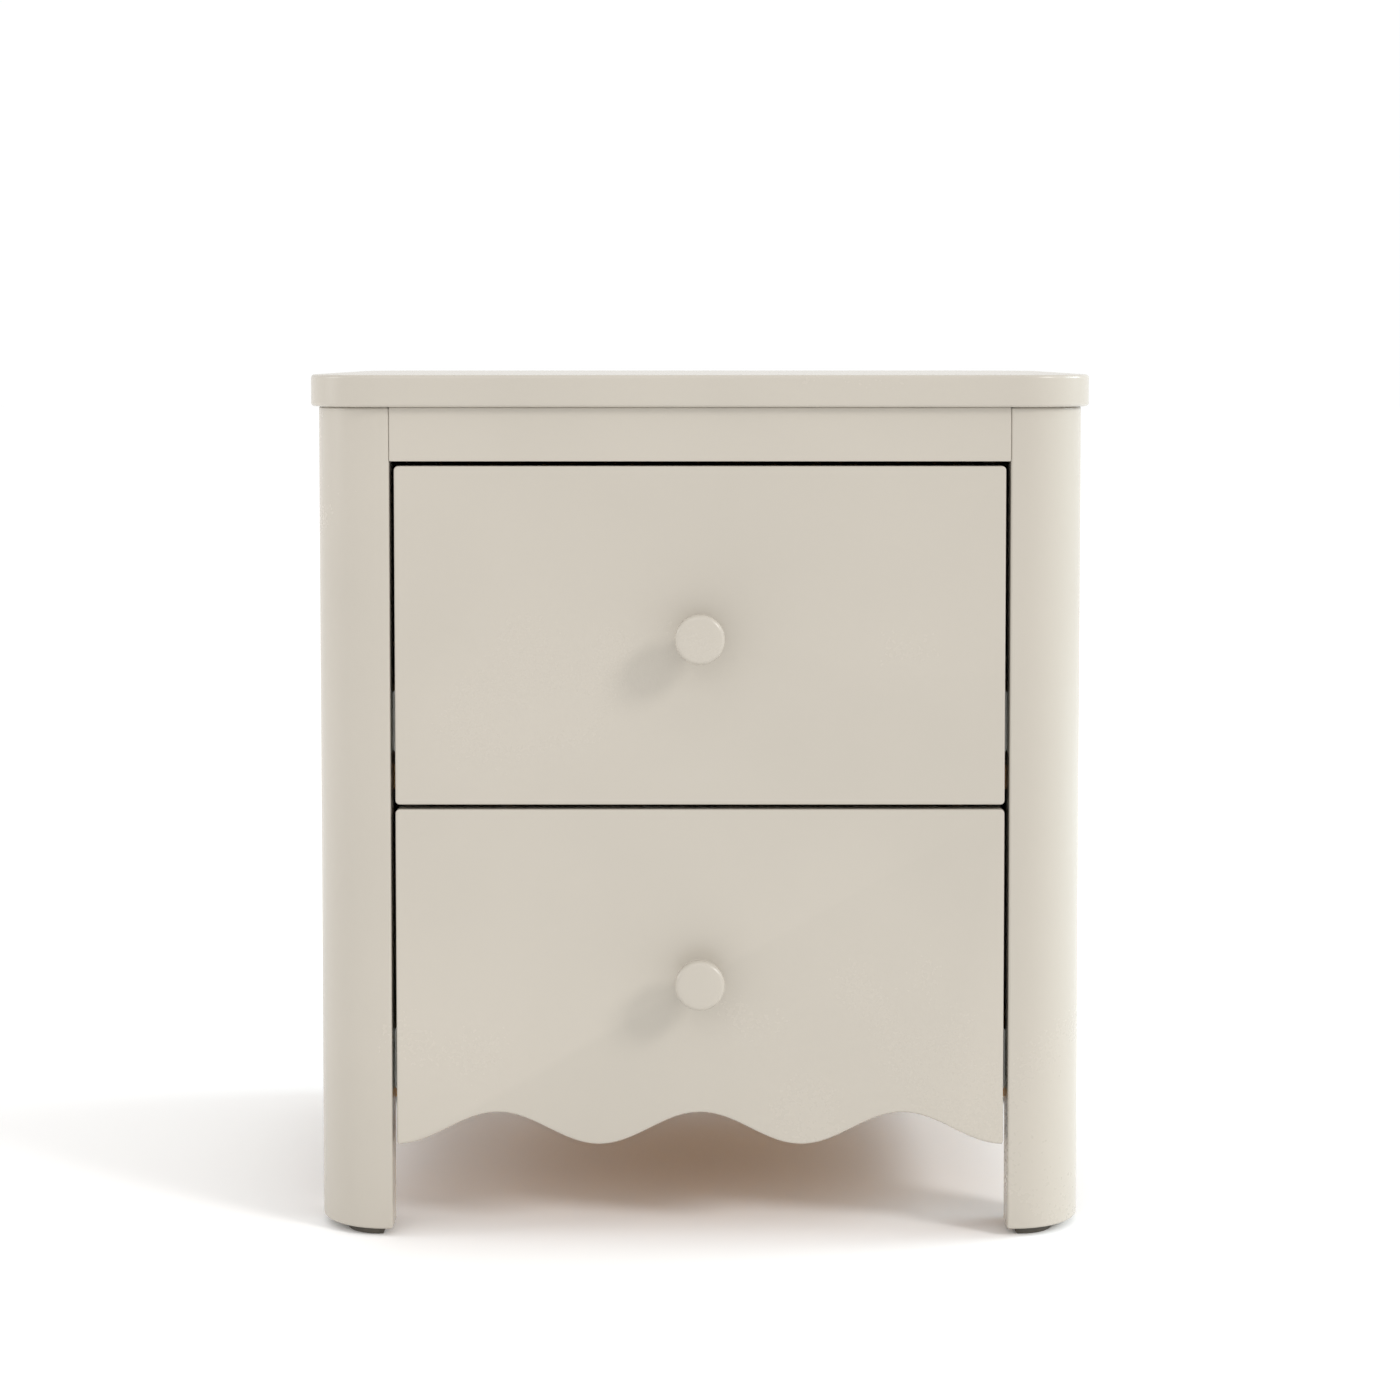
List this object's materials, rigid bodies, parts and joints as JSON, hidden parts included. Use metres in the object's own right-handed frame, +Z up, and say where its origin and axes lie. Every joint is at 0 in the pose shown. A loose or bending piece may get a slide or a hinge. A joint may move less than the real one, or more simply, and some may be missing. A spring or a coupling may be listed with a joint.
{
  "type": "two-drawer nightstand",
  "caption": "Painted nightstand with quarter-round corner posts, a thick rounded top, full-extension drawers with round knobs and a wavy lower skirt.",
  "frame": {"origin": "on the floor, under the centre of the whole nightstand's box, knobs included", "axes": "+X to the viewer's right, -Y out through the drawer fronts, +Z up"},
  "size_m": [0.56, 0.4716, 0.6155],
  "materials": {
    "painted_wood": "satin cream paint on solid wood and fibreboard",
    "drawer_wood": "clear-sealed pale hardwood",
    "frame_wood": "bare sanded softwood",
    "plywood": "clear-sealed birch plywood",
    "slide_steel": "zinc-plated rolled steel",
    "screw_steel": "zinc-plated screws",
    "glide_plastic": "moulded nylon"
  },
  "bodies": {
    "carcass": {"top_panel": "painted_wood", "front_left_post": "painted_wood", "front_right_post": "painted_wood", "rear_left_post": "painted_wood", "rear_right_post": "painted_wood", "left_side_panel": "painted_wood", "right_side_panel": "painted_wood", "back_panel": "painted_wood", "front_top_rail": "painted_wood", "middle_rail": "frame_wood", "front_bottom_rail": "frame_wood", "rear_top_rail": "frame_wood", "rear_bottom_rail": "frame_wood", "upper_left_cleat": "frame_wood", "upper_right_cleat": "frame_wood", "lower_left_cleat": "frame_wood", "lower_right_cleat": "frame_wood", "upper_left_slide_outer": "slide_steel", "upper_right_slide_outer": "slide_steel", "lower_left_slide_outer": "slide_steel", "lower_right_slide_outer": "slide_steel", "corner_blocks": "frame_wood", "foot_glides": "glide_plastic", "dowels": "frame_wood", "carcass_screws": "screw_steel", "top_screws": "screw_steel", "slide_screws": "screw_steel", "back_screws": "screw_steel"},
    "upper_drawer": {"upper_drawer_front": "painted_wood", "upper_box_front": "drawer_wood", "upper_box_left_side": "drawer_wood", "upper_box_right_side": "drawer_wood", "upper_box_back": "drawer_wood", "upper_box_bottom": "plywood", "upper_knob": "painted_wood", "upper_knob_screw": "screw_steel", "upper_left_slide_inner": "slide_steel", "upper_right_slide_inner": "slide_steel", "upper_front_screws": "screw_steel", "upper_runner_screws": "screw_steel"},
    "lower_drawer": {"lower_drawer_front": "painted_wood", "lower_box_front": "drawer_wood", "lower_box_left_side": "drawer_wood", "lower_box_right_side": "drawer_wood", "lower_box_back": "drawer_wood", "lower_box_bottom": "plywood", "lower_knob": "painted_wood", "lower_knob_screw": "screw_steel", "lower_left_slide_inner": "slide_steel", "lower_right_slide_inner": "slide_steel", "lower_front_screws": "screw_steel", "lower_runner_screws": "screw_steel"},
    "upper_left_runner": {"upper_left_slide_middle": "slide_steel"},
    "upper_right_runner": {"upper_right_slide_middle": "slide_steel"},
    "lower_left_runner": {"lower_left_slide_middle": "slide_steel"},
    "lower_right_runner": {"lower_right_slide_middle": "slide_steel"}
  },
  "joints": [
    {"name": "upper_drawer_slide", "type": "slide", "parent": "carcass", "child": "upper_drawer", "axis": [0, -1, 0], "range_m": [0, 0.35]},
    {"name": "lower_drawer_slide", "type": "slide", "parent": "carcass", "child": "lower_drawer", "axis": [0, -1, 0], "range_m": [0, 0.35]},
    {"name": "upper_left_runner_slide", "type": "slide", "parent": "carcass", "child": "upper_left_runner", "axis": [0, -1, 0], "range_m": [0, 0.175]},
    {"name": "upper_right_runner_slide", "type": "slide", "parent": "carcass", "child": "upper_right_runner", "axis": [0, -1, 0], "range_m": [0, 0.175]},
    {"name": "lower_left_runner_slide", "type": "slide", "parent": "carcass", "child": "lower_left_runner", "axis": [0, -1, 0], "range_m": [0, 0.175]},
    {"name": "lower_right_runner_slide", "type": "slide", "parent": "carcass", "child": "lower_right_runner", "axis": [0, -1, 0], "range_m": [0, 0.175]}
  ],
  "couplings": [
    {"joint": "upper_left_runner_slide", "follows": "upper_drawer_slide", "ratio": 0.5},
    {"joint": "upper_right_runner_slide", "follows": "upper_drawer_slide", "ratio": 0.5},
    {"joint": "lower_left_runner_slide", "follows": "lower_drawer_slide", "ratio": 0.5},
    {"joint": "lower_right_runner_slide", "follows": "lower_drawer_slide", "ratio": 0.5}
  ]
}
